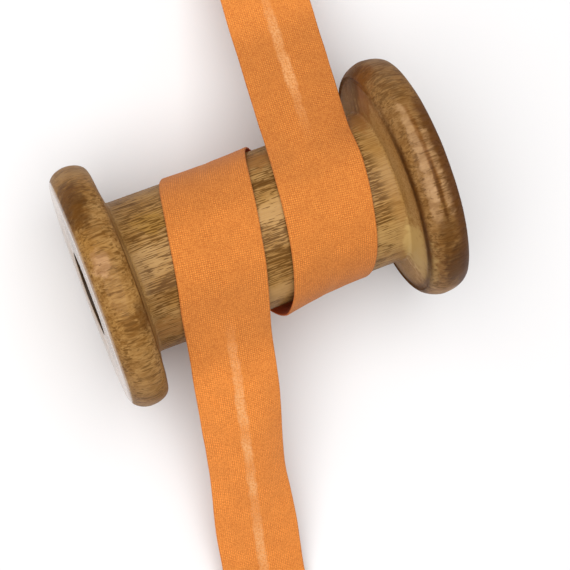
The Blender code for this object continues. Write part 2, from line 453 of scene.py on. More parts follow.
def cloth_points(row, heading, along):
    """The points of one row, from the left raw edge to the right one."""
    middle = Vector(row[:3])
    crown, width, left_lift, right_lift = (float(value) for value in row[3:])
    outward = Vector((0.0, heading.z, -heading.y)).normalized()
    across_way = outward.cross(heading).normalized()
    bow = max(4.0 * crown / width, SMALLEST_BOW)
    radius = 0.5 * width / bow
    points = []
    for across, level, _ in section:
        side = math.copysign(1.0, across)
        share = across / (TAPE_WIDTH / 2)
        reach = across * width / TAPE_WIDTH
        if level < 0.0:
            raw = 1.0 - abs(across) / (TAPE_WIDTH / 2)
            reach += side * raw * RAW_EDGE_WAVER * waver(along, RAW_EDGE_PERIOD, 20.0 + side)
        reach += abs(share) ** 3 * FOLD_WAVER * waver(along, FOLD_PERIOD, 10.0 + side) * side
        angle = reach / radius
        lift = cloth_lift(share, across, level, along, left_lift, right_lift)
        point = middle + across_way * radius * math.sin(angle)
        point -= outward * radius * (1.0 - math.cos(angle))
        point.z = max(point.z, OUTER_LAYER)
        normal = outward * math.cos(angle) + across_way * math.sin(angle)
        point += normal * level + outward * lift
        point.z = max(point.z, LOWEST)
        points.append(point)
    return points


headings = np.gradient(route[:, :3], axis=0)
places = []
for row, heading, along in zip(route, headings, run):
    places += cloth_points(row, Vector(heading).normalized(), along)
print("cloth has", len(places), "points")

# %% [markdown]
# ## From points to a sheet
# A grid of faces joins the rows. It could be unwrapped afterwards, but here every point's place
# on the flat cloth is already known, so it is written straight into a UV map, in metres. That
# keeps the weave even, round the folds too.

# %% Build the sheet
columns = len(section)
faces = []
for row in range(len(route) - 1):
    for column in range(columns - 1):
        corner = row * columns + column
        faces.append((corner, corner + columns, corner + columns + 1, corner + 1))
cloth = bpy.data.meshes.new("folded_binding")
cloth.from_pydata(places, [], faces)
cloth_map = cloth.uv_layers.new(name="cloth")
for loop in cloth.loops:
    row, column = divmod(loop.vertex_index, columns)
    cloth_map.data[loop.index].uv = (run[row], section[column][2])
binding = bpy.data.objects.new("folded_binding", cloth)
bpy.context.scene.collection.objects.link(binding)
print("cloth has", len(faces), "faces before it gets its thickness")

# %% [markdown]
# ## Thickness
# The sheet has no thickness yet. Solidify gives it that of thin cotton, half to each side, and
# closes the raw edges. The faces of a thickened sheet can point the wrong way, so the normals
# are recalculated.

# %% Give the cloth its thickness
CLOTH_SMOOTH_DEG = 50.0

bpy.ops.object.select_all(action="DESELECT")
binding.select_set(True)
bpy.context.view_layer.objects.active = binding
bpy.ops.object.modifier_add(type="SOLIDIFY")
thickness = binding.modifiers[-1]
thickness.thickness = CLOTH_THICKNESS
thickness.offset = 0.0
bpy.ops.object.modifier_apply(modifier=thickness.name)
bpy.ops.object.mode_set(mode="EDIT")
bpy.ops.mesh.select_all(action="SELECT")
bpy.ops.mesh.normals_make_consistent(inside=False)
bpy.ops.object.mode_set(mode="OBJECT")
bpy.ops.object.shade_smooth_by_angle(angle=math.radians(CLOTH_SMOOTH_DEG))
print("binding has", len(binding.data.polygons), "faces")

# %% [markdown]
# ## Working with nodes
# Both finishes are made of nodes, and a few short helpers keep the wiring readable. The first
# places a node and fills or links its sockets, and the others are for sums and soft steps.

# %% Helpers for numbers
def place_node(tree, kind, sockets, **options):
    """Add a node, set its options, and give each named socket a value or a link."""
    made = tree.nodes.new(kind)
    for name, value in options.items():
        setattr(made, name, value)
    for name, value in sockets.items():
        if isinstance(value, bpy.types.NodeSocket):
            tree.links.new(value, made.inputs[name])
        else:
            made.inputs[name].default_value = value
    return made


def sums(tree, operation, first, second=0.0, third=0.0):
    """One sum on numbers."""
    sockets = {0: first, 1: second, 2: third}
    return place_node(tree, "ShaderNodeMath", sockets, operation=operation).outputs[0]


def vectors(tree, operation, first, second=(0.0, 0.0, 0.0)):
    """One sum on vectors. LENGTH gives a number, the others a vector."""
    sockets = {0: first, 1: second}
    made = place_node(tree, "ShaderNodeVectorMath", sockets, operation=operation)
    return made.outputs["Value" if operation == "LENGTH" else "Vector"]


def soft_step(tree, value, start, end, low=0.0, high=1.0):
    """Low before start, high after end, and smooth between them."""
    sockets = {"Value": value, "From Min": start, "From Max": end, "To Min": low, "To Max": high}
    made = place_node(tree, "ShaderNodeMapRange", sockets, interpolation_type="SMOOTHSTEP")
    return made.outputs[0]


def by_mask(tree, mask, outside, inside):
    """One value outside a mask and another inside it."""
    return soft_step(tree, mask, 0.0, 1.0, outside, inside)


def swing(tree, value, reach):
    """A noise between 0 and 1 turned into a swing about zero."""
    return sums(tree, "MULTIPLY", sums(tree, "SUBTRACT", value, 0.5), reach)


print("helpers for numbers ready")

# %% [markdown]
# ## Colours, noise and groups
# The second lot mixes and shades colours, stretches noise along the grain, and starts a group
# or a material. The Mix node has sockets for numbers, vectors and colours all under the same
# names, so the ones for colours are called by their place in its list.

# %% Helpers for colours, noise, groups and materials
MIX_FACTOR, MIX_FIRST, MIX_SECOND, MIX_RESULT = 0, 6, 7, 2


def mix(tree, share, first, second, blend="MIX"):
    """Two colours mixed."""
    sockets = {MIX_FACTOR: share, MIX_FIRST: first, MIX_SECOND: second}
    made = place_node(tree, "ShaderNodeMix", sockets, data_type="RGBA", blend_type=blend)
    return made.outputs[MIX_RESULT]


def shade(tree, colour, factor):
    """A colour made darker, brighter or tinted by a number or another colour."""
    return mix(tree, 1.0, colour, factor, blend="MULTIPLY")


def stretched_noise(tree, vector, scales, detail=2.0, distortion=0.0):
    """Noise whose grain is longer one way than another, from scales in grains a metre."""
    scaled = vectors(tree, "MULTIPLY", vector, scales)
    sockets = {"Vector": scaled, "Scale": 1.0, "Detail": detail, "Distortion": distortion}
    return place_node(tree, "ShaderNodeTexNoise", sockets).outputs["Fac"]


def new_group(name, inputs, outputs):
    """An empty node group with named sockets, and its two end nodes."""
    group = bpy.data.node_groups.new(name, "ShaderNodeTree")
    for socket_name, kind in inputs:
        group.interface.new_socket(socket_name, in_out="INPUT", socket_type=kind)
    for socket_name, kind in outputs:
        group.interface.new_socket(socket_name, in_out="OUTPUT", socket_type=kind)
    return group, group.nodes.new("NodeGroupInput"), group.nodes.new("NodeGroupOutput")


def new_material(name, roughness):
    """A material with its Principled BSDF, ready for its textures."""
    finish = bpy.data.materials.new(name)
    finish.use_nodes = True
    shader = finish.node_tree.nodes["Principled BSDF"]
    shader.inputs["Roughness"].default_value = roughness
    return finish, finish.node_tree, shader


print("helpers for colours ready")

# %% [markdown]
# ## Mottle
# Neither wood nor dyed cotton is one tone all over. This small group gives a cloudy mask at a
# chosen size, and the noise's own Detail lays finer clouds over the broad ones. Both materials
# use it with their own values.

# %% Build the mottle group
MOTTLE_DETAIL = 4.0

mottle, mottle_in, mottle_out = new_group(
    "mottle",
    [
        ("Vector", "NodeSocketVector"), ("Clouds a Metre", "NodeSocketFloat"),
        ("Contrast", "NodeSocketFloat"),
    ],
    [("Mask", "NodeSocketFloat")],
)
broad = place_node(mottle, "ShaderNodeTexNoise", {
    "Vector": mottle_in.outputs["Vector"], "Scale": mottle_in.outputs["Clouds a Metre"],
    "Detail": MOTTLE_DETAIL,
}).outputs["Fac"]
stronger = swing(mottle, broad, mottle_in.outputs["Contrast"])
mottle.links.new(sums(mottle, "ADD", stronger, 0.5), mottle_out.inputs["Mask"])
print("mottle group has", len(mottle.nodes), "nodes")

# %% [markdown]
# ## Plain weave
# In a plain weave each thread goes over one and under the next, so the surface is a chequer of
# little humps that lie along one thread or the other. The group turns the cloth's own map by
# 45 degrees, because the strip is cut on the bias, and counts in threads. The product of the
# two sines says which thread is on top.

# %% Build the weave group
BIAS_DEG = 45.0

weave, weave_in, weave_out = new_group(
    "bias_weave",
    [("Cloth", "NodeSocketVector"), ("Threads a Metre", "NodeSocketFloat")],
    [
        ("Height", "NodeSocketFloat"), ("Thread Tone", "NodeSocketFloat"),
        ("Warp On Top", "NodeSocketFloat"),
    ],
)
on_bias = place_node(
    weave, "ShaderNodeVectorRotate",
    {"Vector": weave_in.outputs["Cloth"], "Angle": math.radians(BIAS_DEG)}, rotation_type="Z_AXIS",
)
threads = place_node(
    weave, "ShaderNodeVectorMath",
    {0: on_bias.outputs[0], "Scale": weave_in.outputs["Threads a Metre"]}, operation="SCALE",
)
split = place_node(weave, "ShaderNodeSeparateXYZ", {0: threads.outputs[0]})
warp_wave = sums(weave, "SINE", sums(weave, "MULTIPLY", split.outputs["X"], math.pi))
weft_wave = sums(weave, "SINE", sums(weave, "MULTIPLY", split.outputs["Y"], math.pi))
over = sums(weave, "MULTIPLY", warp_wave, weft_wave)
warp_lift = sums(weave, "MULTIPLY_ADD", over, 0.5, 0.5)
weft_lift = sums(weave, "MULTIPLY_ADD", over, -0.5, 0.5)
warp_height = sums(weave, "MULTIPLY", sums(weave, "ABSOLUTE", warp_wave), warp_lift)
weft_height = sums(weave, "MULTIPLY", sums(weave, "ABSOLUTE", weft_wave), weft_lift)
weave.links.new(sums(weave, "MAXIMUM", warp_height, weft_height), weave_out.inputs["Height"])
print("weave group lays", BIAS_DEG, "degrees to the strip")

# %% [markdown]
# ## Tone of each thread
# No two threads take the dye alike, and a thread keeps its tone for a while along its length.
# So the noise is read at the thread's number one way, and slowly the other way. The thread that
# lies on top at a crossing is the one whose tone shows.

# %% Give each thread its tone
THREAD_TONE_SCALE = 1.9
THREAD_TONE_RUN = 0.80
WARP_SEED, WEFT_SEED = 0.3, 5.7
CROSSING_SOFTNESS = 0.4


def thread_tone(across, along, seed):
    """One tone for each thread, which changes slowly along it."""
    count = sums(weave, "FLOOR", across)
    slow = sums(weave, "MULTIPLY", along, THREAD_TONE_RUN)
    spot = place_node(weave, "ShaderNodeCombineXYZ", {"X": count, "Y": slow, "Z": seed})
    sockets = {"Vector": spot.outputs[0], "Scale": THREAD_TONE_SCALE, "Detail": 0.0}
    return place_node(weave, "ShaderNodeTexNoise", sockets).outputs["Fac"]


warp_tone = thread_tone(split.outputs["X"], split.outputs["Y"], WARP_SEED)
weft_tone = thread_tone(split.outputs["Y"], split.outputs["X"], WEFT_SEED)
on_top = soft_step(weave, over, -CROSSING_SOFTNESS, CROSSING_SOFTNESS)
weave.links.new(on_top, weave_out.inputs["Warp On Top"])
tone_sockets = {0: on_top, 2: weft_tone, 3: warp_tone}
tone = place_node(weave, "ShaderNodeMix", tone_sockets, data_type="FLOAT")
weave.links.new(tone.outputs[0], weave_out.inputs["Thread Tone"])
print("weave group has", len(weave.nodes), "nodes")

# %% [markdown]
# ## Orange cotton
# The cotton is dyed through and quite matt. One flat orange would look like plastic, so the
# thread tone of the weave group goes between a deep and a full orange.

# %% Dye the cotton
COTTON = (0.680, 0.224, 0.038, 1.0)
COTTON_DEEP = (0.545, 0.157, 0.023, 1.0)
COTTON_ROUGHNESS = 0.86
THREADS_A_METRE = 2350.0
THREAD_TONES = (0.30, 0.62)

cotton, tree, shader = new_material("orange_cotton", COTTON_ROUGHNESS)
cloth_place = place_node(tree, "ShaderNodeUVMap", {}, uv_map="cloth").outputs[0]
weaving = place_node(
    tree, "ShaderNodeGroup", {"Cloth": cloth_place, "Threads a Metre": THREADS_A_METRE},
    node_tree=weave,
)
thread_shade = soft_step(tree, weaving.outputs["Thread Tone"], *THREAD_TONES)
dyed = mix(tree, thread_shade, COTTON_DEEP, COTTON)
print("cotton is dyed, at", round(THREADS_A_METRE / 100, 1), "threads a centimetre")

# %% [markdown]
# ## Light and shade in the weave
# The dips between the threads stay darker, and the light catches the threads that lie one way
# more than the others. Pressed cotton is never quite evenly flat, so the weave shows more in
# some places than in others, always about one mean shade. Slow clouds lie over it all.

# %% Shade the weave
MEAN_SHADE = 0.875
DIP_SHADE = 0.74
WEFT_SHADE, WARP_SHADE = 0.82, 1.07
PRESSED_PLACES = (170.0, 130.0, 1.0)
WEAVE_FAINTEST, WEAVE_STRONGEST = 0.45, 1.45
CLOUDS_A_METRE = 160.0
CLOUD_CONTRAST = 1.1
DARKEST_CLOUD, PALEST_CLOUD = 0.95, 1.03

dips = soft_step(tree, weaving.outputs["Height"], 0.0, 0.5, DIP_SHADE, 1.0)
catches_light = by_mask(tree, weaving.outputs["Warp On Top"], WEFT_SHADE, WARP_SHADE)
weave_shade = sums(tree, "MULTIPLY", dips, catches_light)
pressed = stretched_noise(tree, cloth_place, PRESSED_PLACES, detail=3.0)
weave_shows = soft_step(tree, pressed, 0.40, 0.60, WEAVE_FAINTEST, WEAVE_STRONGEST)
from_mean = sums(tree, "SUBTRACT", weave_shade, MEAN_SHADE)
weave_shade = sums(tree, "ADD", sums(tree, "MULTIPLY", from_mean, weave_shows), MEAN_SHADE)
dyed = shade(tree, dyed, weave_shade)

clouding = place_node(tree, "ShaderNodeGroup", {
    "Vector": cloth_place, "Clouds a Metre": CLOUDS_A_METRE, "Contrast": CLOUD_CONTRAST,
}, node_tree=mottle)
cloud_shade = soft_step(tree, clouding.outputs["Mask"], 0.2, 0.8, DARKEST_CLOUD, PALEST_CLOUD)
dyed = shade(tree, dyed, cloud_shade)
print("weave shades from", round(DIP_SHADE * WEFT_SHADE, 2), "to", WARP_SHADE)

# %% [markdown]
# ## Brighter ends and a dimmer back
# The loose ends hang free with light on both sides, and thin cotton lets some of it through, so
# they look brighter than the cloth that lies on the wood. Where the upper end still lies on the
# back of the barrel it turns away from the light and looks a little dimmer. An opaque shader has
# no light from behind, so the brighter ends are painted light and the dimmer back is painted
# shade, by how far along the table the cloth is.

# %% Brighten the ends and dim the back
UPPER_END_HANGS = (0.044, 0.064)
LOWER_END_HANGS = (-0.024, -0.040)
BACK_STARTS = (0.002, 0.018)
HANGING_PAINTED_LIGHT = 1.21
BACK_PAINTED_SHADE = 0.94

coordinates = place_node(tree, "ShaderNodeTexCoord", {})
place_split = place_node(tree, "ShaderNodeSeparateXYZ", {0: coordinates.outputs["Object"]})
table_way = place_split.outputs["Y"]
hangs_free = sums(
    tree, "MAXIMUM", soft_step(tree, table_way, *UPPER_END_HANGS),
    soft_step(tree, table_way, *LOWER_END_HANGS),
)
# painted light on the loose ends
dyed = shade(tree, dyed, by_mask(tree, hangs_free, 1.0, HANGING_PAINTED_LIGHT))
over_the_back = sums(tree, "SUBTRACT", soft_step(tree, table_way, *BACK_STARTS), hangs_free)
# painted shade where the cloth turns over the back of the barrel
dyed = shade(tree, dyed, by_mask(tree, over_the_back, 1.0, BACK_PAINTED_SHADE))
print("loose ends are", HANGING_PAINTED_LIGHT, "times as bright")

# %% [markdown]
# ## The pale line
# Along the middle the turned-in edges stop short and the cloth is one layer deep, so on the loose
# ends most light comes through there, and that light is painted as a paler orange. The raw edges
# beside it waver, so the line is ragged, broken and speckled, and it fades out where the strip
# meets the barrel.

# %% Paint the pale line
COTTON_LIT = (0.800, 0.395, 0.155, 1.0)
LINE_HALF_WIDTH = 0.0019
LINE_SOFTNESS = 0.0011
LINE_WANDER = 0.0022
LINE_WANDERS = (260.0, 500.0, 1.0)
LINE_BREAKS = (75.0, 40.0, 1.0)
LINE_SPECKLES = (1500.0, 1500.0, 1.0)
UPPER_LINE_STARTS = (0.016, 0.046)
LOWER_LINE_STARTS = (-0.018, -0.036)

cloth_split = place_node(tree, "ShaderNodeSeparateXYZ", {0: cloth_place})
from_middle = sums(tree, "ABSOLUTE", cloth_split.outputs["Y"])
wander = stretched_noise(tree, cloth_place, LINE_WANDERS, detail=3.0)
line_place = sums(tree, "ADD", from_middle, swing(tree, wander, LINE_WANDER))
line = soft_step(tree, line_place, LINE_HALF_WIDTH, LINE_HALF_WIDTH - LINE_SOFTNESS)
line_reaches = sums(
    tree, "MAXIMUM", soft_step(tree, table_way, *UPPER_LINE_STARTS),
    soft_step(tree, table_way, *LOWER_LINE_STARTS),
)
line = sums(tree, "MULTIPLY", line, line_reaches)
broken = stretched_noise(tree, cloth_place, LINE_BREAKS, detail=2.0)
line = sums(tree, "MULTIPLY", line, soft_step(tree, broken, 0.36, 0.64, 0.32, 0.92))
speckle = stretched_noise(tree, cloth_place, LINE_SPECKLES, detail=1.0)
line = sums(tree, "MULTIPLY", line, soft_step(tree, speckle, 0.38, 0.62, 0.40, 1.0))
# painted light: the paler orange of light coming through the middle
dyed = mix(tree, line, dyed, COTTON_LIT)
print("pale line is", round(2 * LINE_HALF_WIDTH, 4), "m wide at most")

# %% [markdown]
# ## Painted shade inside the turn
# Where an edge stands off the barrel, its turned-in layer faces the wood. Light reaches it only
# through the cloth, so painted shade makes it a deep, full orange. It is found by two things
# together: its place on the flat cloth, beyond the fold, and its nearness to the spool's axis.

# %% Shade the inside of the turn
COTTON_SHADED = (0.600, 0.090, 0.004, 1.0)
PAST_THE_FOLD = (0.0124, 0.0128)
NEAR_THE_AXIS = (0.0280, 0.0265)

turned_in = soft_step(tree, from_middle, *PAST_THE_FOLD)
above_axis = vectors(tree, "SUBTRACT", coordinates.outputs["Object"], (0.0, 0.0, AXIS_HEIGHT))
axis_distance = vectors(tree, "LENGTH", vectors(tree, "MULTIPLY", above_axis, (0.0, 1.0, 1.0)))
inside_turn = soft_step(tree, axis_distance, *NEAR_THE_AXIS)
# painted shade on the turned-in layer inside the turn
dyed = mix(tree, sums(tree, "MULTIPLY", turned_in, inside_turn), dyed, COTTON_SHADED)
tree.links.new(dyed, shader.inputs["Base Color"])
print("inside of the turn is shaded within", NEAR_THE_AXIS[0], "m of the axis")

# %% [markdown]
# ## Relief and bloom
# The threads stand up by about a tenth of a millimetre. That is too fine for the mesh, so a Bump
# node bends the light instead. Sheen stands for the faint bloom of loose fibres.

# %% Finish the cotton
THREAD_HEIGHT = 0.00012

relief = place_node(tree, "ShaderNodeBump", {
    "Height": weaving.outputs["Height"], "Strength": 0.6, "Distance": THREAD_HEIGHT,
})
tree.links.new(relief.outputs[0], shader.inputs["Normal"])
shader.inputs["Sheen Weight"].default_value = 0.06
shader.inputs["Sheen Roughness"].default_value = 0.5
shader.inputs["Specular IOR Level"].default_value = 0.25
binding.data.materials.append(cotton)
print("cotton has", len(tree.nodes), "nodes")

# %% [markdown]
# ## Places on the wood
# The grain runs along the spool, so on the barrel and across the rims it shows as short dark
# flecks, and on the end faces as growth rings round a heart that is a little off centre. That
# part of the finish is read from the place in the block, so it meets itself at every edge. Stain
# lies on the surface, so it is placed on the unrolled skin: how far along, and at what angle.

# %% Places in the block and on its skin
WOOD_ROUGHNESS = 0.48
FACES_THE_END = (0.75, 0.97)
PAST_THE_RIMS = (0.0430, 0.0450)
RIM_STARTS = (0.0275, 0.0330)

wood, tree, shader = new_material("varnished_wood", WOOD_ROUGHNESS)
coordinates = place_node(tree, "ShaderNodeTexCoord", {})
from_axis = place_node(tree, "ShaderNodeMapping", {
    "Vector": coordinates.outputs["Object"], "Location": (0.0, 0.0, -AXIS_HEIGHT),
}).outputs[0]
wood_split = place_node(tree, "ShaderNodeSeparateXYZ", {0: from_axis})
lengthwise = wood_split.outputs["X"]
from_middle = sums(tree, "ABSOLUTE", lengthwise)
across_grain = place_node(tree, "ShaderNodeCombineXYZ", {
    "Y": wood_split.outputs["Y"], "Z": wood_split.outputs["Z"],
}).outputs[0]
radius_here = vectors(tree, "LENGTH", across_grain)
angle_here = sums(tree, "ARCTAN2", wood_split.outputs["Y"], wood_split.outputs["Z"])
skin_sockets = {"X": lengthwise, "Y": angle_here}
unrolled = place_node(tree, "ShaderNodeCombineXYZ", skin_sockets).outputs[0]
normal_split = place_node(tree, "ShaderNodeSeparateXYZ", {0: coordinates.outputs["Normal"]})
facing_end = soft_step(tree, sums(tree, "ABSOLUTE", normal_split.outputs["X"]), *FACES_THE_END)
past_rims = soft_step(tree, from_middle, *PAST_THE_RIMS)
end_grain = sums(tree, "MULTIPLY", facing_end, past_rims)
on_rim = soft_step(tree, radius_here, *RIM_STARTS)
print("wood reads its place from the axis at", round(AXIS_HEIGHT, 4))

# %% [markdown]
# ## Timber
# The wood itself goes from gold to tan in slow clouds, with fine fibres along the grain. The
# noise for the fibres is twenty times finer across the grain than along it.

# %% Colour of the timber
GOLD = (0.355, 0.180, 0.044, 1.0)
TAN = (0.430, 0.255, 0.098, 1.0)
BROWN = (0.175, 0.068, 0.009, 1.0)
FIGURE_A_METRE = 130.0
FIGURE_CONTRAST = 1.6
FIBRES = (110.0, 2200.0, 2200.0)
FIBRE_STRENGTH = 0.5

figure = place_node(tree, "ShaderNodeGroup", {
    "Vector": from_axis, "Clouds a Metre": FIGURE_A_METRE, "Contrast": FIGURE_CONTRAST,
}, node_tree=mottle).outputs["Mask"]
timber = mix(tree, figure, GOLD, TAN)
fibre = stretched_noise(tree, from_axis, FIBRES, detail=2.0)
timber = mix(tree, soft_step(tree, fibre, 0.40, 0.68, 0.0, FIBRE_STRENGTH), timber, BROWN)
print("timber has gold, tan and fibre")

# %% [markdown]
# ## Growth rings
# The rings are faint along the sides, where they were cut through lengthwise, and plain on the
# end faces. The distance from the heart goes through a sine, and a slow noise added to it keeps
# the rings from being true circles.

# %% Growth rings
PITH_PLACE = (0.0, 0.006, -0.009)
RING_STEP = 0.0034
RING_WANDER = 0.006
RING_WANDERS = (12.0, 60.0, 60.0)
RINGS_ON_SIDES, RINGS_ON_ENDS = 0.10, 0.5

from_pith = vectors(tree, "LENGTH", vectors(tree, "SUBTRACT", across_grain, PITH_PLACE))
wandering = stretched_noise(tree, from_axis, RING_WANDERS, detail=2.0)
ring_place = sums(tree, "ADD", from_pith, sums(tree, "MULTIPLY", wandering, RING_WANDER))
rings = sums(tree, "SINE", sums(tree, "MULTIPLY", ring_place, 2.0 * math.pi / RING_STEP))
ring_share = by_mask(tree, end_grain, RINGS_ON_SIDES, RINGS_ON_ENDS)
rings = sums(tree, "MULTIPLY", soft_step(tree, rings, -0.2, 1.0), ring_share)
timber = mix(tree, rings, timber, BROWN)
print("rings are", RING_STEP, "m apart")

# %% [markdown]
# ## Patches of stain and painted highlights
# Stain soaks in unevenly, so the wood is darker here and paler there, and some pale patches on the
# varnished rims are painted highlights. A small group makes one patch with a ragged edge, and a
# table places the patches on the unrolled skin.

# %% Build the patch group
PATCH_FADES = (1.25, 0.55)

patch_group, patch_in, patch_out = new_group(
    "stain_and_highlight_patch",
    [
        ("Unrolled", "NodeSocketVector"), ("Centre", "NodeSocketVector"),
        ("Half Size", "NodeSocketVector"), ("Ragged", "NodeSocketFloat"),
    ],
    [("Mask", "NodeSocketFloat")],
)
away = vectors(patch_group, "SUBTRACT", patch_in.outputs["Unrolled"], patch_in.outputs["Centre"])
away = vectors(patch_group, "DIVIDE", away, patch_in.outputs["Half Size"])
away = vectors(patch_group, "LENGTH", away)
away = sums(patch_group, "ADD", away, patch_in.outputs["Ragged"])
patch_group.links.new(soft_step(patch_group, away, *PATCH_FADES), patch_out.inputs["Mask"])
print("patch group has", len(patch_group.nodes), "nodes")

# %% [markdown]
# ## Where the patches lie
# Each row of the table is one patch. Besides its colour it may crowd the dark flecks that come
# later, or thin them out, because the paler places mostly show fewer flecks too.

# %% Lay the patches on the skin
DARK_BROWN = (0.075, 0.026, 0.004, 1.0)
OLIVE = (0.290, 0.145, 0.016, 1.0)
RUST = (0.240, 0.086, 0.014, 1.0)
PALE_TAN = (0.470, 0.270, 0.100, 1.0)
# painted highlight of the varnish near the top of the left rim
GREY_TAN_HIGHLIGHT = (0.340, 0.200, 0.085, 1.0)
OLIVE_TAN = (0.520, 0.345, 0.125, 1.0)
# painted pinkish highlight on the left rim
PINK_TAN_HIGHLIGHT = (0.560, 0.330, 0.190, 1.0)
# painted highlights along the crest of the right rim, and a painted reflection of the table at its
# bottom
PALE_RIM_HIGHLIGHT = (0.680, 0.440, 0.220, 1.0)
RAGGED_EDGE = 1.7
RAGS = (420.0, 520.0, 520.0)
CROWDING = 0.30
CROWDED_PLACES = (70.0, 150.0, 150.0)

# Most rows are stain, but the rows in the three highlight colours and the faint pale tan row at -2
# degrees on the left rim are painted highlights.
# place along X and angle from the top, half length and half angle, colour, strength, flecks there
STAINS_AND_HIGHLIGHTS = (
    (-0.0478, 44, 0.0040, 17, DARK_BROWN, 0.80, 0.03),
    (-0.0445, 68, 0.0060, 9, GREY_TAN_HIGHLIGHT, 0.45, -0.05),
    (-0.0485, 21, 0.0024, 6, GOLD, 0.60, -0.05),
    (-0.0470, 10, 0.0026, 6, PINK_TAN_HIGHLIGHT, 0.45, -0.08),
    # a faint painted highlight on the left rim
    (-0.0440, -2, 0.0030, 9, PALE_TAN, 0.10, -0.03),
    (-0.0415, -17, 0.0016, 7, DARK_BROWN, 0.60, 0.00),
    (-0.0440, -20, 0.0040, 4, BROWN, 0.35, 0.05),
    (-0.0450, -48, 0.0050, 18, PALE_TAN, 0.42, 0.00),
    (-0.0290, 34, 0.0052, 10, OLIVE, 0.50, -0.03),
    (-0.0350, 8, 0.0050, 14, TAN, 0.55, -0.02),
    (-0.0310, -20, 0.0056, 12, BROWN, 0.30, 0.05),
    (-0.0340, -47, 0.0060, 12, RUST, 0.45, -0.05),
    (0.0050, 58, 0.0120, 12, RUST, 0.65, -0.10),
    (0.0030, 33, 0.0120, 3, DARK_BROWN, 0.35, 0.06),
    (0.0020, 10, 0.0100, 9, PALE_TAN, 0.70, -0.12),
    (0.0000, -26, 0.0100, 12, BROWN, 0.20, 0.05),
    (0.0000, -54, 0.0100, 9, PALE_TAN, 0.55, -0.12),
    (0.0365, 62, 0.0060, 16, RUST, 0.65, -0.04),
    (0.0330, 8, 0.0060, 24, TAN, 0.20, 0.05),
    (0.0335, -42, 0.0070, 18, OLIVE_TAN, 0.28, -0.06),
    (0.0388, -54, 0.0026, 24, OLIVE_TAN, 0.90, -0.10),
    (0.0415, 66, 0.0034, 12, RUST, 0.70, 0.00),
    (0.0403, 76, 0.0026, 9, DARK_BROWN, 0.55, 0.00),
    (0.0450, 48, 0.0030, 12, TAN, 0.45, 0.06),
    (0.0430, 84, 0.0060, 12, BROWN, 0.60, 0.00),
    (0.0443, 10, 0.0014, 24, PALE_RIM_HIGHLIGHT, 0.50, -0.10),
    (0.0434, -14, 0.0016, 14, PALE_RIM_HIGHLIGHT, 0.45, -0.08),
    (0.0458, 4, 0.0009, 26, RUST, 0.60, 0.00),
    (0.0457, -8, 0.0006, 16, DARK_BROWN, 0.55, 0.00),
    (0.0477, -14, 0.0013, 10, PALE_RIM_HIGHLIGHT, 0.50, 0.00),
    (0.0473, 8, 0.0011, 14, PALE_RIM_HIGHLIGHT, 0.40, 0.00),
    (0.0440, -34, 0.0018, 6, GOLD, 0.50, 0.02),
    (0.0452, -30, 0.0030, 9, DARK_BROWN, 0.50, 0.00),
    (0.0465, -52, 0.0040, 15, DARK_BROWN, 0.75, 0.00),
    (0.0440, -80, 0.0050, 9, PALE_RIM_HIGHLIGHT, 0.55, -0.05),
)
ragged = swing(tree, stretched_noise(tree, from_axis, RAGS, detail=3.0), RAGGED_EDGE)
crowding = swing(tree, stretched_noise(tree, from_axis, CROWDED_PLACES, detail=2.0), CROWDING)
for place, turned, half_length, half_turn, colour, strength, crowd in STAINS_AND_HIGHLIGHTS:
    patch = place_node(tree, "ShaderNodeGroup", {
        "Unrolled": unrolled, "Ragged": ragged,
        "Centre": (place, math.radians(turned), 0.0),
        "Half Size": (half_length, math.radians(half_turn), 1.0),
    }, node_tree=patch_group).outputs["Mask"]
    timber = mix(tree, sums(tree, "MULTIPLY", patch, strength), timber, colour)
    crowding = sums(tree, "ADD", crowding, sums(tree, "MULTIPLY", patch, crowd))
print("laid", len(STAINS_AND_HIGHLIGHTS), "patches of stain")

# %% [markdown]
# ## Dark edge and painted shade in the creases
# The outer edge of the right rim is darker than the rest, a plum brown, except near its top.
# Painted shade darkens the crease between each rim and its inner face, more on one side than on
# the other. Both lines borrow the ragged edge of the patches, so they don't look drawn with a
# ruler.

# %% Darken the outer edge and paint shade in the creases
PLUM = (0.115, 0.046, 0.018, 1.0)
OUTER_EDGE_STARTS = (0.0468, 0.0492)
OUTER_EDGE_RAGS = 0.0012
OUTER_EDGE_STRENGTH = 0.85
NOT_AT_THE_TOP = (0.75, 0.45)
CREASE_RADIUS = 0.0323
CREASE_FADES = (0.0021, 0.0007)
CREASE_RAGS = 0.0004
INNER_SIDE = (0.0414, 0.0400)

edge_rags = sums(tree, "MULTIPLY", ragged, OUTER_EDGE_RAGS)
outer_edge = soft_step(tree, sums(tree, "ADD", lengthwise, edge_rags), *OUTER_EDGE_STARTS)
lower_down = soft_step(tree, angle_here, *NOT_AT_THE_TOP)
outer_edge = sums(tree, "MULTIPLY", sums(tree, "MULTIPLY", outer_edge, lower_down), on_rim)
timber = mix(tree, sums(tree, "MULTIPLY", outer_edge, OUTER_EDGE_STRENGTH), timber, PLUM)

# painted shade along the crease between each rim and its inner face
crease_shade = sums(tree, "ABSOLUTE", sums(tree, "SUBTRACT", radius_here, CREASE_RADIUS))
crease_shade = sums(tree, "ADD", crease_shade, sums(tree, "MULTIPLY", ragged, CREASE_RAGS))
crease_shade = soft_step(tree, crease_shade, *CREASE_FADES)
inner_side = soft_step(tree, from_middle, *INNER_SIDE)
crease_strength = sums(
    tree, "MULTIPLY", soft_step(tree, angle_here, 0.75, 0.10, 0.10, 0.95),
    soft_step(tree, angle_here, -1.1, -0.75, 0.6, 1.0),
)
crease_shade = sums(tree, "MULTIPLY", sums(tree, "MULTIPLY", crease_shade, inner_side), crease_strength)
timber = mix(tree, crease_shade, timber, DARK_BROWN)
print("edge and creases darkened")

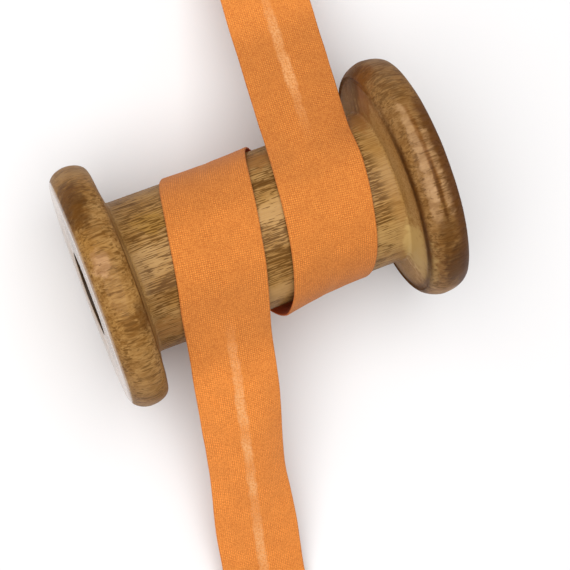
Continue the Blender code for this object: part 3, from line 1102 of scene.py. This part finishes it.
# %% [markdown]
# ## Flecks on the barrel
# The dark flecks are open pores that the stain has filled. On the barrel they are short straight
# dashes along the grain, with longer streaks among them, crowded in some places and absent in
# others. They thin out at both coves.

# %% Flecks and streaks on the barrel
FLECK_STRENGTH = 0.78
LEFT_COVE, LEFT_COVE_SHARE = (-0.0392, -0.0355), 0.3
RIGHT_COVE = (0.0370, 0.0330)


def dark_marks(grains, starts, full, strength=1.0, detail=1.0, distortion=0.0):
    """Dark marks from a stretched noise, with more of them where the patches crowd them."""
    marks = stretched_noise(tree, from_axis, grains, detail, distortion)
    return soft_step(tree, sums(tree, "ADD", marks, crowding), starts, full, 0.0, strength)


flecks = dark_marks((300.0, 3000.0, 3000.0), 0.51, 0.61, distortion=0.15)
streaks = dark_marks((100.0, 2600.0, 2600.0), 0.56, 0.64)
flecks = sums(tree, "MAXIMUM", flecks, streaks)
smooth_left = soft_step(tree, lengthwise, *LEFT_COVE, LEFT_COVE_SHARE, 1.0)
smooth_right = soft_step(tree, lengthwise, *RIGHT_COVE)
on_barrel = sums(tree, "MULTIPLY", smooth_left, smooth_right)
flecks = sums(tree, "MULTIPLY", sums(tree, "MULTIPLY", flecks, on_barrel), FLECK_STRENGTH)
print("flecks in place on the barrel")

# %% [markdown]
# ## Stripes on the rims
# On the rims the gouge cut the pores at a slant, so there they are bent and look like the
# stripes of a curly figure, with finer flecks between. The end faces were sanded and show few.
# Brown clouds lie over the stripes, where the rims took more stain.

# %% Stripes, flecks and clouds on the rims
FLECK = (0.085, 0.030, 0.002, 1.0)
RIGHT_STRIPE_SHARE = 0.8
END_MARK_SHARE = 0.2
RIM_CLOUDS = (260.0, 480.0, 480.0)
RIM_CLOUD_STRENGTH = 0.38
FROM_LEFT_TO_RIGHT = (-0.01, 0.01)

stripes = dark_marks((140.0, 1300.0, 1300.0), 0.49, 0.64, 0.68, detail=2.0, distortion=0.7)
rim_flecks = dark_marks((600.0, 2300.0, 2300.0), 0.58, 0.72, 0.6, distortion=0.5)
stripes = sums(tree, "MULTIPLY", sums(tree, "MAXIMUM", stripes, rim_flecks), on_rim)
stripe_share = soft_step(tree, lengthwise, *FROM_LEFT_TO_RIGHT, 1.0, RIGHT_STRIPE_SHARE)
stripes = sums(tree, "MULTIPLY", stripes, stripe_share)
marks = sums(tree, "MAXIMUM", flecks, stripes)
marks = sums(tree, "MULTIPLY", marks, by_mask(tree, end_grain, 1.0, END_MARK_SHARE))
timber = mix(tree, marks, timber, FLECK)
clouds = stretched_noise(tree, from_axis, RIM_CLOUDS, detail=2.0, distortion=0.4)
clouds = soft_step(tree, clouds, 0.42, 0.66, 0.0, RIM_CLOUD_STRENGTH)
timber = mix(tree, sums(tree, "MULTIPLY", clouds, on_rim), timber, BROWN)
print("stripes in place on the rims")

# %% [markdown]
# ## Rims, and painted shade in the bore
# The right rim is darker and a little redder than the left one, so each has its own tint over all
# that was painted before. Little light gets into the bore, so its wall is painted a dark brown as
# shade.

# %% Tint the rims and paint shade in the bore
LEFT_RIM = (0.93, 0.89, 0.83, 1.0)
RIGHT_RIM = (0.71, 0.65, 0.63, 1.0)
RIM_TINTS_MEET = (-0.02, 0.02)
BORE_PAINTED_SHADE = (0.045, 0.024, 0.010, 1.0)
BORE_WALL = (0.0128, 0.0124)

rim_tint = mix(tree, soft_step(tree, lengthwise, *RIM_TINTS_MEET), LEFT_RIM, RIGHT_RIM)
timber = mix(tree, on_rim, timber, shade(tree, timber, rim_tint))
# painted shade on the wall of the bore
timber = mix(tree, soft_step(tree, radius_here, *BORE_WALL), timber, BORE_PAINTED_SHADE)
tree.links.new(timber, shader.inputs["Base Color"])
print("rims tinted, bore darkened")

# %% [markdown]
# ## Varnish
# A thin satin varnish covers the sides and leaves the pores a little open. The end face was
# sanded flat, so its coat is fuller. Seen almost edge on it mirrors the white table.

# %% Brush on the varnish
PORE_HEIGHT, LATHE_LINE_HEIGHT, FIBRE_HEIGHT = -0.8, 0.35, 0.4
LATHE_LINES = (1500.0, 1500.0, 1.0)
END_RELIEF_SHARE = 0.15
RELIEF_DEPTH = 0.00010
SMOOTHEST, ROUGHEST = 0.42, 0.58
SIDE_COAT, END_COAT = 0.05, 1.0

turned_sockets = {"X": lengthwise, "Y": radius_here}
turned_place = place_node(tree, "ShaderNodeCombineXYZ", turned_sockets).outputs[0]
lathe_lines = stretched_noise(tree, turned_place, LATHE_LINES, detail=2.0)
height = sums(
    tree, "ADD", sums(tree, "MULTIPLY", marks, PORE_HEIGHT),
    sums(tree, "MULTIPLY", lathe_lines, LATHE_LINE_HEIGHT),
)
height = sums(tree, "ADD", height, sums(tree, "MULTIPLY", fibre, FIBRE_HEIGHT))
height = sums(tree, "MULTIPLY", height, by_mask(tree, end_grain, 1.0, END_RELIEF_SHARE))
relief_sockets = {"Height": height, "Strength": 0.5, "Distance": RELIEF_DEPTH}
relief = place_node(tree, "ShaderNodeBump", relief_sockets)
tree.links.new(relief.outputs[0], shader.inputs["Normal"])
patchy = soft_step(tree, figure, 0.2, 0.8, SMOOTHEST, ROUGHEST)
tree.links.new(patchy, shader.inputs["Roughness"])
coat = soft_step(tree, end_grain, 0.2, 0.8, SIDE_COAT, END_COAT)
tree.links.new(coat, shader.inputs["Coat Weight"])
shader.inputs["Coat Roughness"].default_value = 0.10
shader.inputs["Coat IOR"].default_value = 1.65
shader.inputs["Specular IOR Level"].default_value = 0.05
spool.data.materials.clear()
spool.data.materials.append(wood)
print("wood has", len(tree.nodes), "nodes")

# %% [markdown]
# ## Putting it together
# Each piece rides on the part's one body and stands in for its CAD node, which is hidden.

for piece, node, slot in (
    (spool, "wooden_spool", "varnished_wood"),
    (binding, "bias_binding", "orange_cotton"),
):
    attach(piece, next(iter(frame["bodies"])))
    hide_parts(node)

print("pieces", [piece.name for piece in (spool, binding)])
